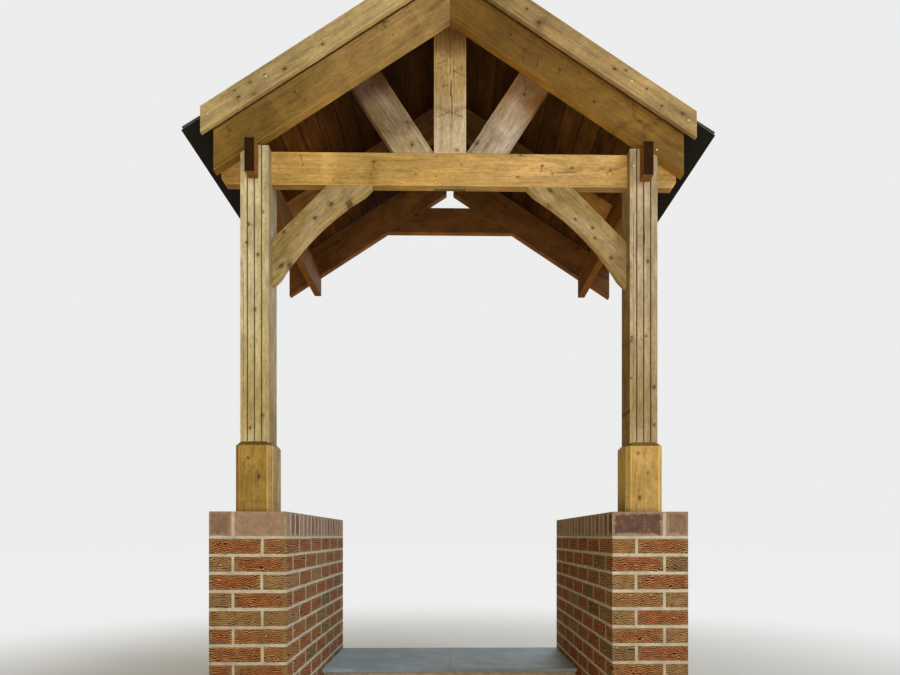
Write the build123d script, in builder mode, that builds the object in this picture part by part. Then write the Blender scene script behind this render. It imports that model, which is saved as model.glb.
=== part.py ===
"""Timber porch canopy on two brick dwarf walls, from the ground up to its ridge.

The frame stands on the ground, with its origin on the floor at the middle of the plan.
X runs along the house wall, +Y runs towards the house, whose wall face is at the rear
of the model, and +Z is up. All sizes are in millimetres. The left half mirrors the right.
"""
from build123d import *
from math import cos, radians, sin, sqrt, tan
import os

# Brickwork of the two dwarf walls
canopy_depth = 1302.0        # house wall to the front of the brickwork
walk_width = 1360.0          # clear way between the walls
wall_width = 320.0           # one and a half bricks
course = 75.0                # one brick and one bed joint
wall_courses = 12
coping_height = 102.5        # bricks laid on edge

# Doorstep
step_depth = 605.0           # house wall to the slab's front edge
step_courses = 2
step_bed = 20.0
slab_thickness = 20.0
slab_joint = 6.0
slab_nosing = 30.0           # slab in front of the riser
slab_rounding = 6.0

# Posts
plinth_size = 158.0
plinth_height = 282.0        # up to the foot of the bevel
plinth_arris = 19.0
shaft_size = 120.0
groove_spacing = 30.0
groove_depth = 3.0
grooves_per_face = 3
post_setback = 46.0          # wall front to plinth front
post_inset = 74.0            # wall's inner face to the plinth's inner face
head_height = 2424.0         # ground to the seats of the tie beam and the plates

# Frame timbers
timber_thick = 42.0
timber_deep = 142.0
tie_overhang = 97.0          # past the shaft's outer face
tie_end_run = 15.0           # chamfer under each end, along the beam
tie_end_rise = 23.0
plate_offset = 5.0           # plate's middle, outwards of the post's middle
plate_projection = 50.0      # in front of the shaft
king_width = 140.0
strut_width = 145.0
strut_lap = 100.0            # behind the rafter, square to it
brace_width = 140.0
brace_leg = 240.0            # outer edge, along the post and along the tie beam
brace_end = 50.0             # straight length at each end of the inner edge
brace_hollow = 31.0          # depth of the curve in the inner edge

# Roof
roof_pitch = 33.3
birdsmouth = 11.0            # rafter let down over the plate's outer top edge
rafter_overhang = 115.0      # past the shaft's outer face
middle_rafter_setback = 685.0  # front face of the front rafters to the middle pair
wall_rafter_drop = 40.0      # underside below that of the other rafters, square to it
wall_rafter_deep = 170.0     # leaves a shadow gap under the roof boards
collar_drop = 306.0          # front rafters' lower peak to the collar's underside
collar_deep = 155.0
ridge_board_deep = 190.0
board_thickness = 20.0
batten_thickness = 52.0
batten_width = 38.0
battens_per_side = 5
covering_thickness = 12.0
eaves_overhang = 88.0        # covering past the end of the bargeboards
bargeboard_thickness = 21.0
bargeboard_lift = 6.5        # above the front rafter's top edge
bargeboard_deep = 93.0
bargeboard_overhang = 47.0   # past the rafters' plumb cut
ridge_cap_wing = 120.0
ridge_cap_thickness = 14.0
flashing_thickness = 3.0
flashing_upstand = 100.0
flashing_apron = 110.0

# Places worked out from the sizes above
y_front = -canopy_depth / 2
y_house = canopy_depth / 2
wall_x = (walk_width + wall_width) / 2
wall_height = wall_courses * course
coping_top = wall_height + coping_height

post_x = walk_width / 2 + post_inset + plinth_size / 2
post_y = y_front + post_setback + plinth_size / 2
shaft_inner_x = post_x - shaft_size / 2
shaft_outer_x = post_x + shaft_size / 2
shaft_front_y = post_y - shaft_size / 2
bevel_rise = (plinth_size - shaft_size) / 2

plate_x = post_x + plate_offset
plate_outer_x = plate_x + timber_thick / 2
plate_front_y = shaft_front_y - plate_projection
tie_front_y = shaft_front_y + timber_thick
tie_back_y = tie_front_y + timber_thick
tie_end_x = shaft_outer_x + tie_overhang
head_top = head_height + timber_deep
half_lap_z = head_height + timber_deep / 2
king_lap_y = tie_front_y + timber_thick / 2

slope = tan(radians(roof_pitch))
square = cos(radians(roof_pitch))
peak = head_top - birdsmouth + plate_outer_x * slope
rafter_tail_x = shaft_outer_x + rafter_overhang
bargeboard_end_x = rafter_tail_x + bargeboard_overhang
eaves_x = bargeboard_end_x + eaves_overhang
ridge_half = timber_thick / 2
boards_top = timber_deep + board_thickness
covering_low = boards_top + batten_thickness
covering_top = covering_low + covering_thickness
bargeboard_low = timber_deep + bargeboard_lift
bargeboard_top = bargeboard_low + bargeboard_deep

step_bed_top = step_courses * course + step_bed

os.makedirs("parts", exist_ok=True)


def roof_z(x, layer):
    """Height of a roof layer, measured square up from the rafters' underside."""
    return peak - x * slope + layer / square


def roof_strip(inner_x, outer_x, low, high):
    """Corners of a strip that runs down the right-hand slope, with plumb ends."""
    return [
        (inner_x, roof_z(inner_x, low)),
        (outer_x, roof_z(outer_x, low)),
        (outer_x, roof_z(outer_x, high)),
        (inner_x, roof_z(inner_x, high)),
    ]


def facing_front(back_y):
    """Upright plane across the porch at back_y, whose extrusions come forwards."""
    return Plane.XZ.offset(-back_y)


def mirrored(piece):
    """The same piece on the other side of the porch."""
    with BuildPart() as twin:
        mirror(piece.part, about=Plane.YZ)
    return twin


def save(piece, name):
    """Labels the piece and writes it as one file."""
    piece.part.label = name
    export_step(piece.part, f"parts/{name}.step")


def save_pair(right_piece, name):
    """Writes a piece and its mirror image."""
    save(right_piece, "right_" + name)
    save(mirrored(right_piece), "left_" + name)


# Dwarf walls: plain masses of brickwork, each under a coping of bricks on edge
with BuildPart() as dwarf_wall:
    with BuildSketch(Plane((wall_x, 0, 0))):
        Rectangle(wall_width, canopy_depth)
    extrude(amount=wall_height)
save_pair(dwarf_wall, "dwarf_wall")

with BuildPart() as coping:
    with BuildSketch(Plane((wall_x, 0, wall_height))):
        Rectangle(wall_width, canopy_depth)
    extrude(amount=coping_height)
save_pair(coping, "coping")

# Doorstep: a brick riser with its mortar bed, and two stone slabs side by side
with BuildPart() as step_riser:
    riser_depth = step_depth - slab_nosing
    with BuildSketch(Plane((0, y_house - riser_depth / 2, 0))):
        Rectangle(walk_width, riser_depth)
    extrude(amount=step_bed_top)
save(step_riser, "step_riser")

with BuildPart() as step_slab:
    slab_width = (walk_width - slab_joint) / 2
    slab_x = (walk_width - slab_width) / 2
    with BuildSketch(Plane((slab_x, y_house - step_depth / 2, step_bed_top))):
        Rectangle(slab_width, step_depth)
    extrude(amount=slab_thickness)
    front_edges = step_slab.faces().sort_by(Axis.Y)[0].edges().filter_by(Axis.X)
    fillet(front_edges, radius=slab_rounding)
save_pair(step_slab, "step_slab")

# Posts: a plinth with taken-off arrises and a bevelled head, and a grooved shaft
# whose top is open for the plate and the tie beam
with BuildPart() as post:
    with BuildSketch(Plane((post_x, post_y, coping_top))):
        Rectangle(plinth_size, plinth_size)
    extrude(amount=plinth_height + bevel_rise)
    chamfer(post.edges().filter_by(Axis.Z), length=plinth_arris)
    chamfer(post.faces().sort_by(Axis.Z)[-1].edges(), length=bevel_rise)
    with BuildSketch(Plane((post_x, post_y, coping_top))):
        Rectangle(shaft_size, shaft_size)
    extrude(amount=head_top - coping_top)
    first_groove = -(grooves_per_face - 1) / 2
    marks = [(first_groove + i) * groove_spacing for i in range(grooves_per_face)]
    across = [(mark, side * shaft_size / 2) for mark in marks for side in (-1, 1)]
    along = [(side, mark) for mark, side in across]
    with BuildSketch(Plane((post_x, post_y, coping_top + plinth_height + bevel_rise))):
        with Locations(*across, *along):
            Rectangle(groove_depth * sqrt(2), groove_depth * sqrt(2), rotation=45)
    extrude(amount=head_top - coping_top, mode=Mode.SUBTRACT)
    with BuildSketch(Plane((plate_x, post_y, head_height))):
        Rectangle(timber_thick, shaft_size)
    extrude(amount=timber_deep, mode=Mode.SUBTRACT)
    with BuildSketch(Plane((post_x, (tie_front_y + tie_back_y) / 2, head_height))):
        Rectangle(shaft_size, timber_thick)
    extrude(amount=timber_deep, mode=Mode.SUBTRACT)
    with BuildSketch(facing_front(post_y + shaft_size / 2)):
        Polygon(*roof_strip(shaft_inner_x, shaft_outer_x, 0, timber_deep), align=None)
    extrude(amount=shaft_size, mode=Mode.SUBTRACT)
save_pair(post, "post")

# Eaves plates: from in front of the posts back to the house wall, halved over the
# tie beam
with BuildPart() as eaves_plate:
    with BuildSketch(Plane((plate_x, (plate_front_y + y_house) / 2, head_height))):
        Rectangle(timber_thick, y_house - plate_front_y)
    extrude(amount=timber_deep)
    with BuildSketch(Plane((plate_x, (tie_front_y + tie_back_y) / 2, head_height))):
        Rectangle(timber_thick, timber_thick)
    extrude(amount=half_lap_z - head_height, mode=Mode.SUBTRACT)
save_pair(eaves_plate, "eaves_plate")

# Tie beam: chamfered under both ends, halved for the plates and for the king post
with BuildPart() as tie_beam:
    with BuildSketch(facing_front(tie_back_y)):
        Polygon(
            (-tie_end_x + tie_end_run, head_height),
            (tie_end_x - tie_end_run, head_height),
            (tie_end_x, head_height + tie_end_rise),
            (tie_end_x, head_top),
            (-tie_end_x, head_top),
            (-tie_end_x, head_height + tie_end_rise),
            align=None,
        )
    extrude(amount=timber_thick)
    with BuildSketch(Plane((0, (tie_front_y + tie_back_y) / 2, half_lap_z))):
        with Locations((-plate_x, 0), (plate_x, 0)):
            Rectangle(timber_thick, timber_thick)
    extrude(amount=head_top - half_lap_z, mode=Mode.SUBTRACT)
    with BuildSketch(Plane((0, (king_lap_y + tie_back_y) / 2, head_height))):
        Rectangle(king_width, tie_back_y - king_lap_y)
    extrude(amount=timber_deep, mode=Mode.SUBTRACT)
save(tie_beam, "tie_beam")

# King post: its foot is lapped behind the tie beam, its head meets the roof boards
with BuildPart() as king_post:
    with BuildSketch(facing_front(tie_back_y)):
        Polygon(
            (-king_width / 2, head_top),
            (king_width / 2, head_top),
            (king_width / 2, roof_z(king_width / 2, timber_deep)),
            (0, roof_z(0, timber_deep)),
            (-king_width / 2, roof_z(king_width / 2, timber_deep)),
            align=None,
        )
    extrude(amount=timber_thick)
    with BuildSketch(Plane((0, (king_lap_y + tie_back_y) / 2, head_height))):
        Rectangle(king_width, tie_back_y - king_lap_y)
    extrude(amount=timber_deep)
save(king_post, "king_post")

# Struts: square to the rafters, from the foot of the king post up behind the rafters
with BuildPart() as strut:
    lean_x = sin(radians(roof_pitch))
    foot_inner_x = king_width / 2
    foot_outer_x = foot_inner_x + strut_width / square
    inner_length = strut_lap + (roof_z(foot_inner_x, 0) - head_top) * square
    outer_length = strut_lap + (roof_z(foot_outer_x, 0) - head_top) * square
    with BuildSketch(facing_front(tie_back_y)):
        Polygon(
            (foot_inner_x, head_top),
            (foot_outer_x, head_top),
            (foot_outer_x + outer_length * lean_x, head_top + outer_length * square),
            (foot_inner_x + inner_length * lean_x, head_top + inner_length * square),
            align=None,
        )
    extrude(amount=timber_thick)
save_pair(strut, "strut")

# Curved braces between the posts and the tie beam
with BuildPart() as front_brace:
    seat = brace_width * sqrt(2)
    nip = brace_end / sqrt(2)
    top_outer = (shaft_inner_x - brace_leg, head_height)
    top_inner = (top_outer[0] - seat, head_height)
    curve_top = (top_inner[0] + nip, head_height - nip)
    post_upper = (shaft_inner_x, head_height - brace_leg)
    post_lower = (shaft_inner_x, post_upper[1] - seat)
    curve_low = (shaft_inner_x - nip, post_lower[1] + nip)
    curve_middle = (
        (curve_top[0] + curve_low[0] + brace_hollow * sqrt(2)) / 2,
        (curve_top[1] + curve_low[1] + brace_hollow * sqrt(2)) / 2,
    )
    with BuildSketch(facing_front(tie_back_y)):
        with BuildLine():
            ThreePointArc(curve_top, curve_middle, curve_low)
            Polyline(curve_low, post_lower, post_upper, top_outer, top_inner, curve_top)
        make_face()
    extrude(amount=timber_thick)
save_pair(front_brace, "front_brace")


def rafter_pair(name, back_y, inner_x, low, high):
    """One pair of rafters between two roof layers, notched down over the plates."""
    with BuildPart() as rafter:
        with BuildSketch(facing_front(back_y)):
            Polygon(*roof_strip(inner_x, rafter_tail_x, low, high), align=None)
            with Locations((plate_x, head_top - timber_deep / 2)):
                Rectangle(timber_thick, timber_deep, mode=Mode.SUBTRACT)
        extrude(amount=timber_thick)
    save_pair(rafter, name)


# Rafters: the front pair meets at the ridge, the others butt against the ridge board
rafter_pair("front_rafter", tie_front_y, 0, 0, timber_deep)
middle_rafter_back_y = shaft_front_y + middle_rafter_setback + timber_thick
rafter_pair("middle_rafter", middle_rafter_back_y, ridge_half, 0, timber_deep)
wall_rafter_top = wall_rafter_deep - wall_rafter_drop
rafter_pair("wall_rafter", y_house, ridge_half, -wall_rafter_drop, wall_rafter_top)

# Collar between the wall rafters
with BuildPart() as wall_collar:
    collar_z = peak - collar_drop
    collar_low_x = (roof_z(0, -wall_rafter_drop) - collar_z) / slope
    collar_high_x = collar_low_x - collar_deep / slope
    with BuildSketch(facing_front(y_house)):
        Polygon(
            (-collar_low_x, collar_z),
            (collar_low_x, collar_z),
            (collar_high_x, collar_z + collar_deep),
            (-collar_high_x, collar_z + collar_deep),
            align=None,
        )
    extrude(amount=timber_thick)
save(wall_collar, "wall_collar")

# Ridge board: from the king post back to the house wall, bevelled to the roof boards
with BuildPart() as ridge_board:
    ridge_low_z = roof_z(0, timber_deep) - ridge_board_deep
    with BuildSketch(facing_front(y_house)):
        Polygon(
            (-ridge_half, ridge_low_z),
            (ridge_half, ridge_low_z),
            (ridge_half, roof_z(ridge_half, timber_deep)),
            (0, roof_z(0, timber_deep)),
            (-ridge_half, roof_z(ridge_half, timber_deep)),
            align=None,
        )
    extrude(amount=y_house - tie_back_y)
save(ridge_board, "ridge_board")


# Roof build-up on each slope: boards, battens along the ridge's line, and the covering
roof_run = y_house - shaft_front_y
with BuildPart() as roof_boards:
    with BuildSketch(facing_front(y_house)):
        Polygon(*roof_strip(0, rafter_tail_x, timber_deep, boards_top), align=None)
    extrude(amount=roof_run)
save_pair(roof_boards, "roof_boards")

with BuildPart() as roof_battens:
    batten_run = batten_width * square
    batten_spacing = (rafter_tail_x - ridge_half - batten_run) / (battens_per_side - 1)
    with BuildSketch(facing_front(y_house)):
        for i in range(battens_per_side):
            batten_x = ridge_half + i * batten_spacing
            corners = roof_strip(batten_x, batten_x + batten_run, boards_top, covering_low)
            Polygon(*corners, align=None)
    extrude(amount=roof_run)
save_pair(roof_battens, "roof_battens")

with BuildPart() as roof_covering:
    with BuildSketch(facing_front(y_house)):
        Polygon(*roof_strip(0, eaves_x, covering_low, covering_top), align=None)
    extrude(amount=roof_run)
save_pair(roof_covering, "roof_covering")

# Bargeboards: in front of the roof's edge, above the front rafters
with BuildPart() as bargeboard:
    with BuildSketch(facing_front(shaft_front_y)):
        corners = roof_strip(0, bargeboard_end_x, bargeboard_low, bargeboard_top)
        Polygon(*corners, align=None)
    extrude(amount=bargeboard_thickness)
save_pair(bargeboard, "bargeboard")

# Ridge cap: one folded capping over both slopes, stopped against the wall flashing
cap_top = covering_top + ridge_cap_thickness
cap_run = ridge_cap_wing * square
cap_length = roof_run - flashing_thickness
with BuildPart() as ridge_cap:
    with BuildSketch(facing_front(y_house - flashing_thickness)):
        Polygon(*roof_strip(0, cap_run, covering_top, cap_top), align=None)
        mirror(about=Plane.YZ)
    extrude(amount=cap_length)
save(ridge_cap, "ridge_cap")

# Wall flashings: an upstand on the house wall with an apron over the covering
with BuildPart() as wall_flashing:
    apron_top = covering_top + flashing_thickness
    upstand_top = covering_top + flashing_upstand
    with BuildSketch(facing_front(y_house)):
        Polygon(*roof_strip(0, eaves_x, covering_top, upstand_top), align=None)
    extrude(amount=flashing_thickness)
    with BuildSketch(facing_front(y_house - flashing_thickness)):
        Polygon(*roof_strip(cap_run, eaves_x, covering_top, apron_top), align=None)
    extrude(amount=flashing_apron)
save_pair(wall_flashing, "wall_flashing")
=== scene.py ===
# %% [markdown]
# # A timber porch canopy on brick dwarf walls
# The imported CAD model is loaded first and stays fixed. Its plain solids give every place and size, and the
# cells below dress them: bricks and mortar for the walls, eased and grained timbers for the frame, matched
# boards for the ceiling, and slates, ridge tiles and lead for the roof. All lengths are in metres.

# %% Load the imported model
import math
import random
from functools import partial

import bmesh
import bpy
from mathutils import Matrix, Vector, noise


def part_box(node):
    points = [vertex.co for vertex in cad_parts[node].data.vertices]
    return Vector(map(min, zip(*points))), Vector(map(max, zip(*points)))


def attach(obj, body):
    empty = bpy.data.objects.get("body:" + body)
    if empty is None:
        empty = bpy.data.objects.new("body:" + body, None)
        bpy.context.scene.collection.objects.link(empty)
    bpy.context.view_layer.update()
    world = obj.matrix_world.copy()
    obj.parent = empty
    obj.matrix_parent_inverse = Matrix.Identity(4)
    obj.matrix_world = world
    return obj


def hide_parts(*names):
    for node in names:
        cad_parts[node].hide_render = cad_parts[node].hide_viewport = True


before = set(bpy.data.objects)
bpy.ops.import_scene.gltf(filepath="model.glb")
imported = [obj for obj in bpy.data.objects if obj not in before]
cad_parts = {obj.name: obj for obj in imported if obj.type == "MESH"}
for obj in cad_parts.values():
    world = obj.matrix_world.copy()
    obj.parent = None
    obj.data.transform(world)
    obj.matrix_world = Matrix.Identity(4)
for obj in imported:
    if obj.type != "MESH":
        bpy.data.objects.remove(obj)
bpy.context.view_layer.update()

SIDES = ("left", "right")

# %% [markdown]
# ## Helpers for shader nodes
# A procedural material is a small sum of noises, distances and blends. Every linked value knows its node
# tree, so these helpers find the tree by themselves and the sum stays readable.

# %% Shader helpers
def srgb(red, green, blue):
    """A colour as a screen shows it, 0 to 255, as linear values for a shader socket."""
    return tuple(((c / 255 + 0.055) / 1.055) ** 2.4 for c in (red, green, blue)) + (1,)


def put(socket, value):
    """Links a value that changes over the surface, or sets one that doesn't. None leaves the socket."""
    if isinstance(value, bpy.types.NodeSocket):
        socket.id_data.links.new(value, socket)
    elif value is not None:
        socket.default_value = value


def new_node(kind, *values, settings=(), **named):
    """A node beside its first linked value. Its inputs are given in order, or by name with underscores for
    spaces."""
    linked = next(v for v in (*values, *named.values()) if isinstance(v, bpy.types.NodeSocket))
    node = linked.id_data.nodes.new("ShaderNode" + kind)
    for key, setting in dict(settings).items():
        setattr(node, key, setting)
    for socket, value in zip(node.inputs, values):
        put(socket, value)
    for label, value in named.items():
        put(node.inputs[label.replace("_", " ")], value)
    return node


def calc(operation, *values, clamp=False):
    return new_node("Math", *values, settings=dict(operation=operation, use_clamp=clamp)).outputs[0]


plus, minus, times, over, times_plus, largest, size_of = (partial(calc, name) for name in (
    "ADD", "SUBTRACT", "MULTIPLY", "DIVIDE", "MULTIPLY_ADD", "MAXIMUM", "ABSOLUTE"))


def vec(operation, *values):
    node = new_node("VectorMath", *values, settings=dict(operation=operation))
    return node.outputs["Value" if operation in ("LENGTH", "DOT_PRODUCT") else "Vector"]


stretch = partial(vec, "MULTIPLY")


def scaled(color, gain):
    """The colour times a changing value."""
    return new_node("VectorMath", color, Scale=gain, settings=dict(operation="SCALE")).outputs[0]


def split(vector):
    """The three parts of a vector."""
    return new_node("SeparateXYZ", vector).outputs


def step(value, low, high, to_low=0, to_high=1):
    """A smooth step from one value to another."""
    return new_node("MapRange", Value=value, From_Min=low, From_Max=high, To_Min=to_low, To_Max=to_high,
                    settings=dict(interpolation_type="SMOOTHSTEP")).outputs["Result"]


def blend(factor, a, b):
    """From colour a to colour b. This node has sockets of every kind, so they are told by identifier."""
    node = new_node("Mix", factor, settings=dict(data_type="RGBA"))
    sockets = {s.identifier: s for s in (*node.inputs, *node.outputs)}
    put(sockets["A_Color"], a)
    put(sockets["B_Color"], b)
    return sockets["Result_Color"]


def speckle(vector, scale, detail=3, rough=0.55, distortion=0):
    return new_node("TexNoise", Vector=vector, Scale=scale, Detail=detail, Roughness=rough,
                    Distortion=distortion).outputs["Fac"]


def grained(vector, per_metre, detail, rough=0.55):
    """A noise with its own scale along each axis."""
    return speckle(stretch(vector, per_metre), 1, detail, rough)


def swing(value, gain, base=None):
    """A noise that runs about 0.5, centred on nought, times the gain, and added to the base if any."""
    centred = minus(value, 0.5)
    return times(centred, gain) if base is None else times_plus(centred, gain, base)


def attribute(name, beside):
    """A value laid on the mesh's faces, read in the tree that the value beside it belongs to."""
    return new_node("Attribute", beside, settings=dict(attribute_name=name)).outputs["Fac"]


SOCKET_KINDS = {"Vector": "Vector", "Centre": "Vector", "Tone": "Color", "End Tone": "Color",
                "Color": "Color"}


def new_group(name, inputs, outputs):
    """A shader node group with named sockets; returns it, its inputs and its outputs."""
    tree = bpy.data.node_groups.new(name, "ShaderNodeTree")
    for labels, way in ((inputs, "INPUT"), (outputs, "OUTPUT")):
        for label in labels:
            kind = "NodeSocket" + SOCKET_KINDS.get(label, "Float")
            tree.interface.new_socket(label, in_out=way, socket_type=kind)
    start, end = tree.nodes.new("NodeGroupInput"), tree.nodes.new("NodeGroupOutput")
    return tree, start.outputs, end.inputs


def use(group, **values):
    return new_node("Group", settings=dict(node_tree=group), **values).outputs


def new_material(name):
    """A material, and the place and the normal of a point on the piece."""
    material = bpy.data.materials.new(name)
    material.use_nodes = True
    coordinates = material.node_tree.nodes.new("ShaderNodeTexCoord").outputs
    return material, coordinates["Object"], coordinates["Normal"]


def finish(material, color, roughness, height=None, depth=None, gloss=None, **others):
    """Feeds the shader, the height through a Bump node of that depth; returns the material."""
    if height is not None:
        others["Normal"] = new_node("Bump", Height=height, Distance=depth).outputs["Normal"]
    others.update(Base_Color=color, Roughness=roughness, Specular_IOR_Level=gloss)
    shader = material.node_tree.nodes["Principled BSDF"]
    for label, value in others.items():
        put(shader.inputs[label.replace("_", " ")], value)
    return material


print("shader helpers ready")

# %% [markdown]
# ## Knots, bands, checks and grain
# Softwood shows growth rings, fine fibres, cloudy patches, and knots that the rings flow round. The rings
# are distances from the pith, beside or behind each timber. Four groups add the knots, growth bands, drying
# checks and short cracks that the real timbers show at known places; a few of the bands are painted shade
# instead. They pass on a swirl, a band and a dark core, so any number of them can be chained.

# %% Knot, band, check and crack groups
knot_group, at, out = new_group(
    "set knot", ("Vector", "Centre", "Radius", "Swirl", "Core"), ("Swirl", "Core"))
flat = stretch(vec("SUBTRACT", at["Vector"], at["Centre"]), (0.75, 0, 1))
span = over(vec("LENGTH", flat), times(at["Radius"], 0.8))
reach = plus(span, swing(speckle(at["Vector"], 150, 3, 0.7), 2.6))
put(out["Swirl"], plus(at["Swirl"], step(reach, 0.3, 2.8, 1, 0)))
ring_edge = times(step(reach, 0.35, 1.35, 1, 0), step(span, 0.1, 0.7, 0.72, 1))
put(out["Core"], largest(at["Core"], ring_edge))

band_group, at, out = new_group(
    "growth band", ("Vector", "Along", "Width", "Tilt", "Strength", "Band"), ("Band",))
x, y, z = split(at["Vector"])
bend = times_plus(size_of(z), at["Tilt"], swing(speckle(at["Vector"], 22, 2), 0.05))
share = over(minus(plus(x, bend), at["Along"]), at["Width"])
mask = times(step(share, 0, 1, 1, 0), step(share, -0.45, -0.05))
put(out["Band"], times_plus(mask, at["Strength"], at["Band"]))

check_group, at, out = new_group(
    "drying check", ("Vector", "Start", "End", "Across", "Width", "Core"), ("Core",))
x, y, z = split(at["Vector"])
away = size_of(minus(plus(z, swing(speckle(x, 9, 3), 0.012)), at["Across"]))
line = step(over(away, at["Width"]), 0.35, 1, 1, 0)
tips = times(step(minus(x, at["Start"]), 0, 0.03), step(minus(at["End"], x), 0, 0.03))
put(out["Core"], largest(at["Core"], times(line, tips)))

crack_group, at, out = new_group("cross crack", ("Vector", "Centre", "Length", "Lean", "Core"), ("Core",))
x, y, z = split(vec("SUBTRACT", at["Vector"], at["Centre"]))
jag = swing(speckle(at["Vector"], 95, 3, 0.7), 0.022)
line = step(size_of(times_plus(z, at["Lean"], plus(x, jag))), 0.0008, 0.0052, 1, 0)
reach = step(over(size_of(z), at["Length"]), 0.35, 0.55, 1, 0)
put(out["Core"], largest(at["Core"], times(times(line, reach), 0.55)))
print("groups", [g.name for g in bpy.data.node_groups])

# %% Softwood grain group
softwood, at, out = new_group(
    "softwood",
    ("Vector", "Swirl", "Core", "Band", "End", "Tone", "Ring Width", "Pith Y", "Pith Z", "Figure", "Streaks",
     "Clouds", "Knots", "Grey", "Shade", "Worn", "End Tone"),
    ("Color", "Roughness", "Height"))
place, tone = at["Vector"], at["Tone"]
x, y, z = split(place)

# random small knots, one in each cell that draws a low number
CELLS_ALONG, CELLS_ACROSS = 3.4, 7
cells = new_node("TexVoronoi", Vector=stretch(place, (CELLS_ALONG, 0, CELLS_ACROSS)), Scale=1).outputs
seat = stretch(cells["Position"], (1 / CELLS_ALONG, 0, 1 / CELLS_ACROSS))
off = stretch(vec("SUBTRACT", place, seat), (0.7, 0, 1))
draw = new_node("SeparateColor", cells["Color"]).outputs
radius = times_plus(draw["Green"], 0.006, 0.004)
chosen = calc("LESS_THAN", draw["Red"], at["Knots"])
ratio = plus(over(vec("LENGTH", off), radius), swing(speckle(place, 130, 2), 1.5))
core = largest(at["Core"], times(chosen, step(ratio, 0.2, 1.1, 0.7, 0)))
swirl = plus(at["Swirl"], times(chosen, step(ratio, 0.4, 2.6, 0.8, 0)))

# growth rings round the pith
from_y, from_z = minus(y, at["Pith Y"]), minus(z, at["Pith Z"])
far = calc("SQRT", plus(times(from_y, from_y), times(from_z, from_z)))
far = swing(grained(place, (1.9, 7, 7), 2), 0.06, far)
far = times_plus(x, 0.01, far)
far = times_plus(swirl, -0.006, far)
rings = over(far, at["Ring Width"])
saw = calc("FRACT", rings)
late = times(step(saw, 0.1, 0.85), step(saw, 0.86, 1, 1, 0))
year = speckle(times(calc("FLOOR", rings), 3.7), 1, 1)
late = times(late, step(year, 0.25, 0.75, 0.25, 1))
late = times(late, step(grained(place, (2.3, 15, 15), 2), 0.32, 0.62, 0.2, 1))

# fibres, streaks and clouds
fibre, streak, mottle, cloud, patch = (
    grained(place, (length, width, width), detail, rough) for length, width, detail, rough in (
        (16, 300, 2, 0.55), (2.2, 52, 5, 0.7), (55, 110, 3, 0.7), (4.5, 10, 3, 0.6),
        (9, 52, 3, 0.6)))
depth = times_plus(times(late, at["Figure"]), 0.62, 0.26)
depth = times_plus(swing(streak, at["Streaks"]), 1.45, depth)
depth = swing(mottle, 1.15, swing(fibre, 0.4, depth))
depth = times_plus(swirl, 0.34, depth)
depth = times_plus(at["Band"], 0.6, depth, clamp=True)
wood = blend(depth, stretch(tone, (1.3, 1.3, 1.34)), stretch(tone, (0.55, 0.47, 0.38)))
greyed = minus(1, times(at["Grey"], step(cloud, 0.36, 0.62)))
wood = new_node("HueSaturation", Saturation=greyed, Color=wood).outputs["Color"]
gain = times_plus(swing(patch, 0.7, swing(cloud, 1.5)), at["Clouds"], 1)
wood = scaled(wood, times(gain, at["Shade"]))
# the eased arrises are painted paler: wear, with a painted highlight
worn = times(at["Worn"], step(streak, 0.38, 0.56))
wood = blend(worn, wood, stretch(tone, (1.75, 1.72, 1.7)))
wood = blend(times(core, 0.95), wood, stretch(tone, (0.2, 0.14, 0.1)))
wood = blend(at["End"], wood, scaled(at["End Tone"], times_plus(patch, 1.6, 0.2)))
put(out["Color"], wood)
put(out["Roughness"], times_plus(depth, -0.1, 0.74))
put(out["Height"], times_plus(core, -0.9, times_plus(late, 0.3, times(fibre, 0.4))))
print("softwood group has", len(softwood.nodes), "nodes")

# %% [markdown]
# ## Timber finishes
# Each finish turns the object's coordinates so that X follows the grain, from the timber's middle and its
# turn. The tone is the timber's mean colour; the group makes its pale and deep wood from it.

# %% Timber finish helper
ALONG_X = (0, 0, 0)
ALONG_Y = (0, 0, math.pi / 2)
ALONG_Z = (0, -math.pi / 2, 0)


def turned(place, turn, middle=None):
    """The coordinates with X along the grain, measured from the middle."""
    return new_node("Mapping", Vector=place, Rotation=turn, Location=middle,
                    settings=dict(vector_type="TEXTURE")).outputs["Vector"]


def facing(normal, direction):
    """How far a face looks along that direction, either way."""
    return size_of(vec("DOT_PRODUCT", normal, direction))


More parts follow.
